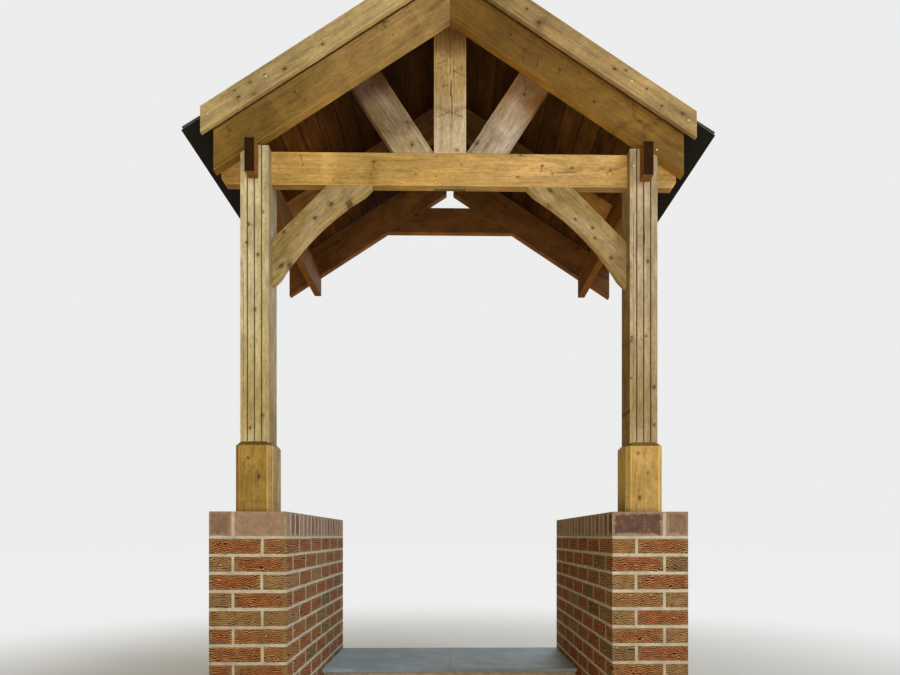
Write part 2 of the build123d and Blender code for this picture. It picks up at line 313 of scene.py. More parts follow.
def timber_finish(name, middle, turn, tone, knots=(), checks=(), cracks=(), bands=(), pith=(0.055, 0),
                  ring=0.0055, figure=0.6, streaks=1, clouds=1, random_knots=0.2, grey=0, fade=None,
                  second=None, third=None, under=1, ends=0.8, end_tone=(74, 52, 22), worn=0.45,
                  gloss=0.22, side_gain=None, grooved=False):
    """Softwood with its grain turned to the timber, and its marks in mm: knots (along, across, radius),
    checks (start, end, across, width), cracks (along, across, length, lean) and bands (along, width, tilt,
    strength); a few bands are painted shade. The gain along the grain is (X low, X high, gain there, gain
    there): painted shade, on some timbers with a change of tone. The two later tones are (X low, X high,
    tone there), and the last of them is a darker tone painted as shade at the timber's head. The gain for
    faces that look down and the gain for faces that look sideways are painted light and shade, and the
    arris setting paints the eased arrises paler, as wear with a painted highlight."""
    material, place, normal = new_material(name)
    local = turned(place, turn, middle)
    x, y, z = split(local)
    swirl, core, band = None, None, None
    for along_grain, across, size in knots:
        swirl, core = use(knot_group, Vector=local, Centre=(along_grain / 1000, 0, across / 1000),
                          Radius=size / 1000, Swirl=swirl, Core=core)
    for start, end, across, width in checks:
        core = use(check_group, Vector=local, Start=start / 1000, End=end / 1000, Across=across / 1000,
                   Width=width / 1000, Core=core)["Core"]
    for along_grain, across, length, lean in cracks:
        core = use(crack_group, Vector=local, Centre=(along_grain / 1000, 0, across / 1000),
                   Length=length / 1000, Lean=lean, Core=core)["Core"]
    for along_grain, width, tilt, strength in bands:
        band = use(band_group, Vector=local, Along=along_grain / 1000, Width=width / 1000, Tilt=tilt,
                   Strength=strength, Band=band)["Band"]
    axis = Matrix.Rotation(turn[2], 3, "Z") @ Matrix.Rotation(turn[1], 3, "Y") @ Vector((1, 0, 0))
    # painted light and shade: the underside gain makes faces that look down brighter above 1 and darker below
    # 1
    shade = step(vec("DOT_PRODUCT", normal, (0, 0, -1)), 0.35, 0.65, 1, under)
    # painted shade along the grain, on some timbers with a change of tone
    if fade:
        shade = times(shade, step(x, *fade))
    tone = srgb(*tone)
    # the last tone, where given, is a darker brown painted as shade at the timber's head
    for x_low, x_high, other_tone in filter(None, (second, third)):
        tone = blend(step(x, x_low, x_high), tone, srgb(*other_tone))
    grain = use(softwood, Vector=local, Swirl=swirl, Core=core, Band=band, Tone=tone, Ring_Width=ring,
                End=step(facing(normal, tuple(axis)), 0.45, 0.75, 0, ends), End_Tone=srgb(*end_tone),
                Pith_Y=pith[0], Pith_Z=pith[1], Figure=figure, Streaks=streaks, Clouds=clouds,
                Knots=random_knots, Grey=grey, Shade=shade, Worn=times(attribute("arris", local), worn))
    color = grain["Color"]
    if grooved:
        # each rib between two grooves has its own tint, and the grooves get painted shade
        rib = calc("ROUND", over(z, 0.03))
        tint = speckle(times_plus(rib, 3.37, middle[0] * 5), 1, 1)
        color = scaled(color, times_plus(tint, 0.55, 0.72))
        color = blend(times(attribute("groove", local), 0.72), color, srgb(78, 50, 24))
    # painted light and shade on the faces that look sideways
    if side_gain:
        color = blend(step(facing(normal, (1, 0, 0)), 0.5, 0.85), color, stretch(color, side_gain))
    return finish(material, color, grain["Roughness"], grain["Height"], 0.0012, gloss)


pitch = math.radians(33.3)
print("roof pitch", round(math.degrees(pitch), 1), "degrees")

# %% [markdown]
# ## Eased timbers
# Planed timber has its arrises taken off by a millimetre or two, and they catch the light as thin pale
# lines, which the finish paints paler still as wear and painted highlight. Each CAD timber is copied,
# merged into flat faces and bevelled, and the copy stands for the node.

# %% Eased timber helper
WELD = 0.00002


def place_in_scene(name, data):
    thing = bpy.data.objects.new(name, data)
    bpy.context.scene.collection.objects.link(thing)
    return thing


def new_object(name, bm, materials):
    mesh = bpy.data.meshes.new(name)
    bm.to_mesh(mesh)
    bm.free()
    for material in materials:
        mesh.materials.append(material)
    return place_in_scene(name, mesh)


def keep(name, bm, materials, slot_name, *nodes):
    """Makes the piece from a bmesh with its materials, sets it on the root and hides the nodes it stands for.
    """
    piece = new_object(name, bm, materials)
    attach(piece, "root")
    if nodes:
        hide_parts(*nodes)
    return piece


def coat(node, material):
    """Gives a CAD node that stays as it is its material."""
    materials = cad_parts[node].data.materials
    materials.clear()
    materials.append(material)


def merged(node):
    """A clean bmesh of a CAD node: doubles merged, flat triangles dissolved."""
    bm = bmesh.new()
    bm.from_mesh(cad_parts[node].data)
    bmesh.ops.remove_doubles(bm, verts=bm.verts, dist=WELD)
    bmesh.ops.dissolve_limit(bm, angle_limit=math.radians(1.0), verts=bm.verts, edges=bm.edges)
    bmesh.ops.recalc_face_normals(bm, faces=bm.faces)
    return bm


def sharp_edges(bm):
    return [e for e in bm.edges if len(e.link_faces) == 2 and e.calc_face_angle() > math.radians(25)]


def bevel(bm, edges, width, clamp=False):
    return bmesh.ops.bevel(bm, geom=edges, offset=width, segments=2, profile=0.5, affect="EDGES",
                           material=-1, clamp_overlap=clamp)["faces"]


def ease(bm, edges, arris):
    """Bevels the edges and marks the new faces, which the finish paints paler as wear and painted highlight.
    """
    mark = bm.faces.layers.float.get("arris") or bm.faces.layers.float.new("arris")
    for face in bevel(bm, edges, arris, clamp=True):
        face[mark] = 1


def eased(node, material, slot_name, arris):
    bm = merged(node)
    ease(bm, sharp_edges(bm), arris)
    keep(node + "_dressed", bm, [material], slot_name, node)


def middle_of(node):
    low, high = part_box(node)
    return (low + high) / 2


def dress(node, turn, tone, arris=0.0018, slot_name="frame_timber", middle=None, **look):
    """Eases a CAD timber and gives it a finish of its own."""
    wood = timber_finish(node + " softwood", middle or middle_of(node), turn, tone, **look)
    eased(node, wood, slot_name, arris)


print("easing helpers ready")

# %% [markdown]
# ## Tie beam and king post
# The tie beam is the most golden timber, with a few knots and wandering lines, and painted shade on its
# underside and at its left end. The king post is paler, with a check down its middle and growth bands
# across its face, and painted shade that darkens its head below the rafters.

# %% Tie beam and king post
truss_y = -0.523
# painted shade: the underside gain darkens the soffit, and the last band darkens the left end below the
# rafter
dress(
    "tie_beam", ALONG_X, (181, 149, 82), arris=0.003,
    knots=[(-330, 30, 6), (-343, -23, 4), (296, -30, 5), (401, 19, 4), (-508, -50, 4), (532, 12, 5),
           (-150, -20, 4), (705, 2, 3), (712, -12, 3), (-60, -30, 3), (48, 22, 3)],
    cracks=[(-645, 42, 44, 0.3), (-638, 12, 20, -0.5), (445, -12, 34, 0.4), (401, 10, 40, -0.2),
            (700, 8, 30, 0.1), (690, -6, 26, -0.3), (-330, 6, 30, 0.5)],
    checks=[(440, 560, -8, 1.8)],
    bands=[(-540, 60, 0, -0.5), (400, 90, 0, -0.25), (-330, 35, 0.3, 0.25), (-1000, 130, 0, 0.7)],
    pith=(0.075, 0.03), ring=0.007, figure=0.5, random_knots=0.08, fade=(-0.7, 0.7, 0.93, 1.06),
    second=(-0.5, 0.5, (181, 150, 93)), under=0.75)
# painted shade darkens the head below the rafters: the gain along the grain, the last tone and the last band
dress(
    "king_post", ALONG_Z, (190, 174, 141), arris=0.0026, middle=Vector((0, truss_y, 2.9)),
    knots=[(-320, -30, 7)],
    checks=[(-105, -5, -4, 4.6), (-190, -60, -8, 2.8), (-5, 60, -3, 2.2), (60, 185, -1, 3)],
    cracks=[(-40, 22, 34, 0.2), (62, 34, 44, 0.4), (14, -38, 56, -0.45), (-166, 30, 60, 0.45),
            (-166, -30, 60, -0.45)],
    bands=[(-160, 420, -0.32, 0.32), (-158, 24, -0.32, 0.55), (58, 18, 0.45, 0.3), (12, 18, -0.5, 0.3),
           (-345, 170, 0, -0.3), (150, 250, 0, 0.8)],
    pith=(0.05, 0.02), ring=0.006, figure=0.5, random_knots=0, grey=0.05, fade=(0.05, 0.2, 1, 0.44),
    second=(-0.22, -0.02, (170, 147, 93)), third=(0.05, 0.19, (160, 121, 59)))
print("tie beam and king post dressed")

# %% [markdown]
# ## Struts, braces and rafters
# These come in mirrored pairs, but no two timbers are alike, so each has marks of its own. The struts are
# greyer and have painted shade towards their heads, the braces are a greener tan, and the front rafters are
# darkest. The left front rafter has painted shade towards its foot, and the rafters and braces have
# painted light on their undersides.

# %% Sloping timbers
def leaning(side, lean):
    """The turn of a timber that leans down to the right by lean on the right-hand side."""
    return (0, lean if side == "right" else -lean, 0)


sloping = {
    # painted shade towards the left rafter's foot, and painted light on the rafters' undersides
    "left_front_rafter": dict(
        tone=(131, 104, 46), second=(-0.5, 0.4, (130, 107, 64)), under=1.35,
        fade=(-0.55, 0.35, 0.72, 1.24), random_knots=0.06,
        knots=[(-178, 22, 4), (-158, -32, 3), (-496, 33, 5), (310, -2, 3)],
        cracks=[(299, 51, 30, 0.5), (-172, 8, 40, 0.3), (-500, 40, 30, -0.4)],
        bands=[(-559, 45, 0, -0.45), (-272, 45, 0, -0.4), (55, 48, 0, -0.4), (445, 40, 0, -0.35)]),
    "right_front_rafter": dict(
        tone=(112, 84, 32), under=1.7, fade=(-0.5, 0.5, 0.9, 1.08), random_knots=0.05,
        knots=[(-42, 5, 4), (-300, 14, 5), (30, 46, 4), (154, -27, 6), (292, -43, 4), (365, 14, 7),
               (515, 68, 4)],
        cracks=[(-205, -30, 60, 0.5), (-141, -20, 50, 0.4), (-42, 0, 30, 0.3)],
        bands=[(180, 60, 0, -0.35), (-200, 40, 0.3, 0.3), (338, 22, 0.6, 0.5), (392, 22, -0.6, 0.45),
               (440, 50, -0.4, -0.3), (-453, 50, 0.2, -0.3)]),
    "left_bargeboard": dict(
        tone=(170, 151, 105), fade=(-0.5, 0.5, 0.9, 1.1),
        knots=[(-23, -14, 8), (-215, -15, 9), (320, 10, 5), (-369, 16, 6), (-442, 24, 5), (-446, -9, 8),
               (-385, -34, 5), (-300, 12, 5)]),
    "right_bargeboard": dict(
        tone=(155, 133, 90), fade=(-0.5, 0.5, 0.9, 1.08),
        knots=[(-242, 4, 6), (-165, -16, 11), (208, 0, 8), (253, 22, 6), (370, 6, 6), (463, -19, 5),
               (555, 2, 7)],
        bands=[(37, 36, 0.3, -0.35), (-150, 50, 0.4, 0.22)]),
    # the struts' last tones and gains are painted shade at their heads
    "left_strut": dict(
        tone=(114, 93, 60), fade=(-0.1, 0, 0.4, 1.1), second=(0.12, 0.2, (149, 130, 86)),
        third=(0, -0.08, (104, 64, 20)), streaks=1.8, clouds=1.5,
        knots=[(214, -10, 9), (120, 28, 5), (-96, -14, 6)], bands=[(165, 16, 0.9, 0.5)],
        checks=[(-120, 60, 20, 1.3), (-60, 120, -34, 1.1)]),
    "right_strut": dict(
        tone=(160, 143, 117), fade=(-0.02, 0.07, 1, 0.72), second=(-0.12, -0.04, (148, 126, 86)),
        third=(-0.02, 0.05, (130, 90, 30)), streaks=1.7, clouds=1.4, knots=[(-233, 35, 9), (60, -20, 6)],
        checks=[(-260, -150, 52, 5)], bands=[(-110, 40, 0.4, -0.3)]),
}
shared = {
    "front_rafter": dict(arris=0.0025, pith=(0.06, 0.1), ring=0.006),
    "bargeboard": dict(pith=(0.05, -0.06), streaks=1.4),
    "strut": dict(pith=(0.06, 0.05), ring=0.005, grey=0.3),
}
for side in SIDES:
    for kind, look in shared.items():
        node = f"{side}_{kind}"
        dress(node, leaning(side, pitch - math.pi / 2 if kind == "strut" else pitch), **look, **sloping[node])

braces = {
    "left": (-1, (147, 127, 74),
             [(123, -1, 10), (30, 5, 9), (-108, 56, 8), (-221, -39, 11), (180, -55, 15), (-188, -63, 17)]),
    "right": (1, (150, 129, 75),
              [(20, 7, 7), (57, -18, 6), (169, -28, 8), (-185, -64, 12), (-228, -9, 8), (-60, -20, 6)]),
}
# the braces' undersides get painted light
for side, (sign, tone, knots) in braces.items():
    dress(side + "_front_brace", leaning(side, math.pi / 4), tone, arris=0.004, slot_name="brace_timber",
          middle=Vector((sign * 0.6035, truss_y, 2.2545)), knots=knots, pith=(0.08, -0.05), ring=0.007,
          figure=0.5, streaks=0.7, clouds=1.5, random_knots=0.1, grey=0.2, under=1.35)
print("sloping timbers dressed")

# %% [markdown]
# ## Posts and plates
# Each post is one solid in the CAD model: a golden plinth and a paler grooved shaft. One piece takes both
# finishes, chosen by height, and the grooves have painted shade. The shafts' sides have painted shade and
# the plinths' sides a paler, cooler painted light. The plates run back to the house, and their front ends
# show dark end grain.

# %% Posts and plates
plinth_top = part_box("left_coping")[1].z + 0.301


def grooved_post(node):
    """The merged post with eased arrises; the faces of its grooves are marked."""
    bm = merged(node)
    low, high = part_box(node)
    shaft_in = 0.0195
    cut = bm.faces.layers.float.new("groove")
    for face in bm.faces:
        p, n = face.calc_center_median(), face.normal
        inside = min(p.x - low.x, high.x - p.x, p.y - low.y, high.y - p.y) > shaft_in
        if inside and abs(n.z) < 0.1 and abs(abs(n.x) - abs(n.y)) < 0.1:
            # grooves on the front and back get full painted shade, those on the sides less
            face[cut] = 1 if min(p.y - low.y, high.y - p.y) < shaft_in + 0.003 else 0.3

    def on_plinth(edge):
        """Whether an edge is one of the plinth's upright arrises."""
        foot, head = sorted(v.co.z for v in edge.verts)
        return foot < low.z + 0.01 < head < plinth_top - 0.001

    for chosen, arris in ((on_plinth, 0.0034), (lambda edge: True, 0.0018)):
        edges = [e for e in sharp_edges(bm) if not any(face[cut] > 0.1 for face in e.link_faces)]
        ease(bm, [e for e in edges if chosen(e)], arris)
    bmesh.ops.remove_doubles(bm, verts=bm.verts, dist=WELD)
    return bm


shaft_look = dict(pith=(0.09, 0.05), ring=0.005, figure=0.45, streaks=0.9, random_knots=0.08, grey=0.15,
                  grooved=True)
plinth_look = dict(pith=(0.03, -0.02), ring=0.007, random_knots=0.1, worn=0.85)
# the gains for sideways faces paint shade on the shafts' sides and a paler, cooler light on the plinths'
# sides
posts = {
    "left": (-1, dict(
        tone=(183, 168, 108), second=(-0.3, 0.35, (183, 173, 128)), fade=(-0.4, 0.4, 0.95, 1.06),
        knots=[(479, 23, 8), (401, 34, 7), (350, -15, 8), (117, -3, 7), (531, -39, 5), (-334, -34, 8),
               (-390, 19, 7)],
        checks=[(-300, 300, 46, 1.2)], side_gain=(0.7, 0.63, 0.63)
    ), dict(
        tone=(153, 125, 58), streaks=0.8, side_gain=(1.14, 1.27, 2.5), knots=[(-598, -24, 9), (-520, 20, 5)],
        bands=[(-560, 14, 1.2, 0.25), (-600, 10, -1, 0.15), (-505, 12, 0.9, 0.2), (-704, 14, 0.1, 0.4)])),
    "right": (1, dict(
        tone=(161, 142, 98), second=(-0.3, 0.35, (163, 148, 114)), fade=(-0.4, 0.4, 0.97, 1.04),
        knots=[(331, -19, 7), (-312, 63, 6), (-11, 53, 6), (6, 52, 5), (10, -10, 5), (-208, -44, 8),
               (-171, 53, 5), (-372, -46, 6), (432, -1, 6)],
        checks=[(390, 480, -2, 4.5), (-330, 560, 44, 1.2)], side_gain=(0.74, 0.63, 0.4)
    ), dict(
        tone=(180, 149, 84), streaks=0.55, side_gain=(1.14, 1.32, 1.38), bands=[(-640, 16, 0.7, 0.2)],
        knots=[(-688, 23, 9), (-497, 30, 6), (-579, -11, 5)])),
}
for side, (sign, shaft, plinth) in posts.items():
    node = side + "_post"
    centre = Vector((sign * 0.833, middle_of(node).y, 1.75))
    woods = [timber_finish(f"{side} {part} softwood", centre, ALONG_Z, **look)
             for part, look in (("shaft", {**shaft_look, **shaft}), ("plinth", {**plinth_look, **plinth}))]
    post = keep(node + "_dressed", grooved_post(node), woods, "post_timber", node)
    for face in post.data.polygons:
        face.material_index = 1 if face.center.z < plinth_top else 0
    dress(side + "_eaves_plate", ALONG_Y, (126, 88, 44), pith=(0.05, 0.02), random_knots=0.3, ends=0.98,
          end_tone=(44, 26, 10), worn=0.15, gloss=0.04)
print("posts and plates dressed")

# %% [markdown]
# ## Timbers under the roof
# The middle and wall rafters, the collar, the ridge board and the battens stay in the shade of the roof.
# The wall rafters, the collar, the ridge board and the battens have that shade painted into their colour,
# a deep warm brown, and the first three have painted light on their undersides. The middle rafters have
# painted shade that darkens them towards the ridge.

# %% Shaded timbers
# painted shade: a deep warm brown for the roof's shade, with painted light on the undersides
wall_look = dict(tone=(106, 71, 33), clouds=1.4, random_knots=0.3, under=1.6)
middle_look = dict(tone=(168, 124, 66), clouds=1.4, random_knots=0.3, pith=(0.06, 0.08))
# the middle rafters get painted shade that darkens them towards the ridge
for side, fade in (("left", (-0.2, 0.35, 1, 0.3)), ("right", (-0.35, 0.2, 0.3, 1))):
    dress(side + "_middle_rafter", leaning(side, pitch), fade=fade, **middle_look)
    dress(side + "_wall_rafter", leaning(side, pitch), pith=(0.06, 0.08), **wall_look)
    node = side + "_roof_battens"
    # the battens' deep brown is painted shade too
    coat(node, timber_finish(node + " softwood", middle_of(node), ALONG_Y, (112, 80, 46)))
for node, turn in (("wall_collar", ALONG_X), ("ridge_board", ALONG_Y)):
    dress(node, turn, pith=(0.07, 0.02), **wall_look)
print("shaded timbers dressed")

# %% [markdown]
# ## Ceiling boards
# The ceiling is a row of matched boards, about 98 mm wide on the slope, that run from front to back. Their
# lower edges are chamfered, so each joint is a small V. The roof's layers are drawn as profiles on the
# right-hand slope, and the left-hand ones are their mirror images.

# %% Helpers for the slopes
board_thick = 0.02
boards_low, boards_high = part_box("right_roof_boards")
roof_front, roof_back = boards_low.y, boards_high.y
slope_long = boards_high.x / math.cos(pitch)
board_peak = boards_high.z - board_thick / math.cos(pitch)
slope_dir = Vector((math.cos(pitch), 0, -math.sin(pitch)))
square_up = Vector((math.sin(pitch), 0, math.cos(pitch)))


def add_profile(bm, profile, y_front, y_back):
    """A bar from front to back. Its profile is given as pairs: down the slope from the ridge, and square up
    from the boards' underside."""
    ridge = Vector((0, y_front, board_peak))
    face = bm.faces.new([bm.verts.new(ridge + slope_dir * down + square_up * up) for down, up in profile])
    made = bmesh.ops.extrude_face_region(bm, geom=[face])
    moved = [v for v in made["geom"] if isinstance(v, bmesh.types.BMVert)]
    bmesh.ops.translate(bm, verts=moved, vec=(0, y_back - y_front, 0))


def add_toned(bm, tone, profile, y_front, y_back):
    """A bar whose faces share a random tone."""
    first = len(bm.faces)
    add_profile(bm, profile, y_front, y_back)
    bm.faces.ensure_lookup_table()
    value = random.random()
    for face in bm.faces[first:]:
        face[tone] = value


def mirror_left(bm, side):
    """Turns a right-hand bmesh into its left-hand twin, faces still outwards, where the side asks for it."""
    if side == "left":
        bmesh.ops.scale(bm, vec=(-1, 1, 1), verts=bm.verts)
        bmesh.ops.reverse_faces(bm, faces=bm.faces)
    return bm


def finish_bars(bm, side):
    bmesh.ops.recalc_face_normals(bm, faces=bm.faces)
    return mirror_left(bm, side)


print("slope is", round(slope_long, 3), "m long, boards start at", round(board_peak, 4))

# %% Ceiling boards
board_pitch, board_start, vee, board_gap = 0.0975, 0.0672, 0.004, 0.0006


def ceiling(side):
    random.seed(11 if side == "left" else 12)
    bm = bmesh.new()
    tone = bm.faces.layers.float.new("tone")
    joints = [board_start + board_pitch * i for i in range(20)]
    edges = [0, *(j for j in joints if j < slope_long - 0.03), slope_long]
    # plumb ends follow the CAD solid at the ridge and at the eaves
    plumb = board_thick * math.tan(pitch)
    for inner, outer in zip(edges, edges[1:]):
        head, foot = [(0, 0)], [(outer, 0)]
        head_top, foot_top = inner - plumb, outer - plumb
        if inner > 0:
            head, head_top = [(inner + board_gap, vee), (inner + board_gap + vee, 0)], inner + board_gap
        if outer < slope_long:
            foot, foot_top = [(outer - board_gap - vee, 0), (outer - board_gap, vee)], outer - board_gap
        top = [(foot_top, board_thick), (head_top, board_thick)]
        add_toned(bm, tone, head + foot + top, roof_front, roof_back)
    return finish_bars(bm, side)


def board_finish(side, tone_color, ridge_shade):
    material, place, normal = new_material(side + " ceiling boards softwood")
    tone = attribute("tone", place)
    local = vec("ADD", turned(place, ALONG_Y), scaled((7, 1.3, 2.1), tone))
    # painted shade that darkens the boards towards the ridge
    smoke = step(split(place)["Z"], 2.68, 3.05, 1, ridge_shade)
    grain = use(softwood, Vector=local, Tone=tone_color, Ring_Width=0.006, Pith_Y=0.5, Pith_Z=2.9, Figure=0.6,
                Streaks=1.4, Clouds=1.3, Knots=0.35, Shade=times(smoke, times_plus(tone, 0.6, 0.7)),
                End=step(facing(normal, (0, 1, 0)), 0.45, 0.75, 0, 0.95),
                End_Tone=srgb(72, 52, 26))
    return finish(material, grain["Color"], grain["Roughness"], grain["Height"], 0.001, gloss=0.06)


# each slope has its own tone and strength of painted ridge shade, set to how light falls on that slope
for side, tone, ridge_shade in (("left", srgb(104, 67, 29), 0.24), ("right", srgb(92, 61, 29), 0.5)):
    keep(side + "_ceiling_boards", ceiling(side), [board_finish(side, tone, ridge_shade)], "board_timber",
         side + "_roof_boards")
print("ceiling boards laid")

# %% [markdown]
# ## Rustic brick and mortar finishes
# The facing bricks have an orange-red heart, an olive-buff margin and a face of wavy scratches, with
# painted shade in their grooves and a painted highlight on their ridges. Each brick carries its tone, its
# face sizes, and a UV map that runs from -1 to 1 over every face, so the distance to the nearest edge is
# known in metres. The coping bricks are smooth and pinkish or purple.

# %% Brick heart group
heart_group, at, out = new_group(
    "brick heart", ("Vector", "Side Margin", "Level Margin", "Ragged", "Drift"), ("Heart",))
u, v, _ = split(new_node("UVMap", at["Vector"], settings=dict(uv_map="brick_face")).outputs["UV"])
inward = [over(times(minus(1, size_of(place)), attribute(layer, place)), at[margin])
          for place, layer, margin in ((u, "half_u", "Side Margin"), (v, "half_v", "Level Margin"))]
ragged = swing(speckle(at["Vector"], 60, 3, 0.65), at["Ragged"])
drift = swing(speckle(at["Vector"], 11, 2), at["Drift"])
near = plus(calc("MINIMUM", *inward), plus(ragged, drift))
put(out["Heart"], step(near, 0.55, 1.35))


def tone_ramp(value, stops):
    """The colour for a tone from 0 to 1, between the stops."""
    node = new_node("ValToRGB", value)
    elements = node.color_ramp.elements
    while len(elements) < len(stops):
        elements.new(0.5)
    for element, (place, color) in zip(elements, stops):
        element.position, element.color = place, srgb(*color)
    return node.outputs["Color"]


# %% Facing brick, coping brick and mortar
def brick_material(name, hearts, margins, scratched, side_margin, level_margin, ragged, drift):
    material, place, _ = new_material(name)
    tone = attribute("tone", place)
    heart = use(heart_group, Vector=place, Side_Margin=side_margin, Level_Margin=level_margin, Ragged=ragged,
                Drift=drift)["Heart"]
    color = blend(heart, tone_ramp(tone, margins), tone_ramp(tone, hearts))
    grit = speckle(place, 420, 3, 0.65)
    gain = swing(grit, 0.6, swing(speckle(place, 38, 4, 0.6), 1, 1))
    height = times(grit, 0.3)
    if scratched:
        # wavy scratches: level bands that a stretched noise pushes up and down, broken into short runs
        x, y, z = split(place)
        push = grained(place, (46, 7, 24), 1.5, 0.5)
        run = times_plus(y, 0.24, x)
        wave = calc("SINE", times_plus(run, 2 * math.pi / 0.023, times(push, 14)))
        level = times_plus(wave, 0.0017, times_plus(push, 0.028, z))
        level = times_plus(tone, 0.17, level)
        band = calc("SINE", times(level, 2 * math.pi / 0.0092))
        runs = step(grained(place, (30, 10, 90), 2), 0.32, 0.6)
        groove = times(step(band, -0.1, 0.8), runs)
        ridge = times(step(band, -0.2, -0.9), runs)
        # painted shade in the scratch grooves
        gain = times_plus(groove, -0.86, gain)
        burnt = grained(place, (26, 12, 44), 3, 0.6)
        color = blend(step(burnt, 0.52, 0.7, 0, 0.55), color, srgb(100, 72, 42))
        color = blend(step(burnt, 0.46, 0.32, 0, 0.5), color, srgb(166, 118, 66))
        # a painted highlight on the scratch ridges
        color = blend(times(ridge, 0.8), color, srgb(214, 160, 104))
        height = times_plus(groove, -1, height)
    else:
        gain = times_plus(step(speckle(place, 210, 2, 0.5), 0.62, 0.72), -0.4, gain)
        rosy = step(speckle(place, 52, 4, 0.65), 0.5, 0.72, 0, 0.55)
        color = blend(rosy, color, srgb(164, 108, 88))
    return finish(material, scaled(color, gain), times_plus(grit, 0.15, 0.78), height, 0.0035, gloss=0.2)


facing_brick = brick_material(
    "rustic facing brick",
    [(0, (144, 72, 40)), (0.3, (148, 88, 50)), (0.5, (158, 115, 68)), (0.6, (152, 125, 82)),
     (0.85, (137, 119, 82)), (0.9, (96, 90, 72)), (1, (80, 78, 66))],
    [(0, (141, 116, 74)), (0.5, (148, 122, 80)), (0.85, (137, 118, 82)), (1, (92, 88, 70))],
    scratched=True, side_margin=0.015, level_margin=0.0085, ragged=1.9, drift=3.4)
coping_finish = brick_material(
    "smooth coping brick",
    [(0, (160, 138, 114)), (0.35, (152, 126, 104)), (0.6, (136, 112, 94)), (0.85, (120, 98, 81)),
     (1, (86, 62, 56))],
    [(0, (164, 142, 116)), (0.5, (160, 136, 112)), (1, (156, 134, 112))],
    scratched=False, side_margin=0.012, level_margin=0.012, ragged=3, drift=1.6)

mortar, place, _ = new_material("pale mortar")
sand = speckle(place, 700, 2, 0.7)
smear = speckle(place, 22, 3, 0.6)
tint = plus(times(sand, 0.45), times(smear, 0.55))
color = blend(step(tint, 0.3, 0.7), srgb(178, 168, 147), srgb(222, 213, 194))
finish(mortar, color, times_plus(sand, 0.1, 0.85), sand, 0.0015, gloss=0.2)
print("brick finishes ready")

# %% [markdown]
# ## Laying the bricks
# The dwarf walls are one and a half bricks thick. The front shows a stretcher and a header in each course,
# by turns inside and outside, and the long sides are in stretcher bond. Every brick is a bevelled block,
# laid a little out of true around a core of mortar.

# %% Brick laying helpers
COURSE, BRICK_HIGH, BRICK_WIDE, BRICK_LONG, JOINT = 0.075, 0.065, 0.1025, 0.215, 0.01
SHORTEST = 0.02
# without a seed of its own, this noise would differ from run to run
noise.seed_set(31)


def lay(bm, low, high, tone_value, arris=0.0018, wobble=0.0002, lean=0.0003, uneven=0.0015):
    """One brick between two corners, bevelled and slightly uneven, with its tone and face map."""
    low = Vector(low) + Vector((0, 0, random.uniform(0, uneven)))
    high = Vector(high) - Vector((0, 0, random.uniform(0, uneven)))
    half, centre = (high - low) / 2, (low + high) / 2
    small = bmesh.new()
    uv = small.loops.layers.uv.new("brick_face")
    tone, half_u, half_v = (small.faces.layers.float.new(n) for n in ("tone", "half_u", "half_v"))
    bmesh.ops.create_cube(small, size=2)
    bmesh.ops.scale(small, vec=half, verts=small.verts)
    bevel(small, small.edges[:], arris)
    for face in small.faces:
        n = face.normal
        u, v = (0, 1) if abs(n.z) >= max(abs(n.x), abs(n.y)) else (1, 2) if abs(n.x) > abs(n.y) else (0, 2)
        face[tone], face[half_u], face[half_v] = tone_value, half[u], half[v]
        for loop in face.loops:
            p = loop.vert.co
            loop[uv].uv = (p[u] / half[u], p[v] / half[v])
    turn = Matrix.Rotation(random.uniform(-lean, lean), 3, "Z")
    for v in small.verts:
        v.co = turn @ v.co + centre
        v.co += noise.noise_vector(v.co * 90) * wobble
        v.co = Vector(min(max(c, lo), hi) for c, lo, hi in zip(v.co, low, high))
    scratch = bpy.data.meshes.new("one brick")
    small.to_mesh(scratch)
    small.free()
    bm.from_mesh(scratch)
    bpy.data.meshes.remove(scratch)


def row(start, stop, length, usual):
    """Where each brick of a row starts and ends. The first has a length of its own, the last is cut."""
    while start < stop - SHORTEST:
        end = min(start + length, stop)
        yield start, end
        start, length = end + JOINT, usual


def add_block(bm, low, high):
    bmesh.ops.create_cube(bm, size=1)
    bmesh.ops.scale(bm, vec=high - low, verts=bm.verts)
    bmesh.ops.translate(bm, vec=(low + high) / 2, verts=bm.verts)


def mortar_core(name, node, slot_name, inset=0.0005, top_inset=0):
    """A block of mortar inside the node's box, with slightly uneven faces."""
    bm = bmesh.new()
    low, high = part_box(node)
    add_block(bm, low + Vector((inset, inset, inset)), high - Vector((inset, inset, top_inset + inset)))
    bmesh.ops.subdivide_edges(bm, edges=bm.edges[:], cuts=5, use_grid_fill=True)
    for v in bm.verts:
        v.co += noise.noise_vector(v.co * 14) * 0.0001
    keep(name, bm, [mortar], slot_name, node)


def brick_tone():
    """Mostly red brick, some buff, a few dark."""
    pick = random.random()
    if pick < 0.87:
        return random.uniform(0, 0.3)
    if pick < 0.93:
        return random.uniform(0.5, 0.72)
    return random.uniform(0.86, 1)


# %% Dwarf walls
# tones of the front's stretcher and header in each course, from the top down
front_tones = {
    "left": [(0.18, 0.3), (0.12, 0.72), (0.1, 0.66), (0.15, 0.74), (0.62, 0.64), (0.35, 0.25),
             (0.28, 0.4), (0.3, 0.22), (0.55, 0.2), (0.2, 0.7), (0.3, 0.5), (0.1, 0.6)],
    "right": [(0.14, 0.48), (0.16, 0.9), (0.12, 0.7), (0.5, 0.66), (0.1, 0.72), (0.3, 0.62),
              (0.16, 0.88), (0.34, 0.6), (0.2, 0.3), (0.6, 0.2), (0.1, 0.75), (0.4, 0.3)],
}


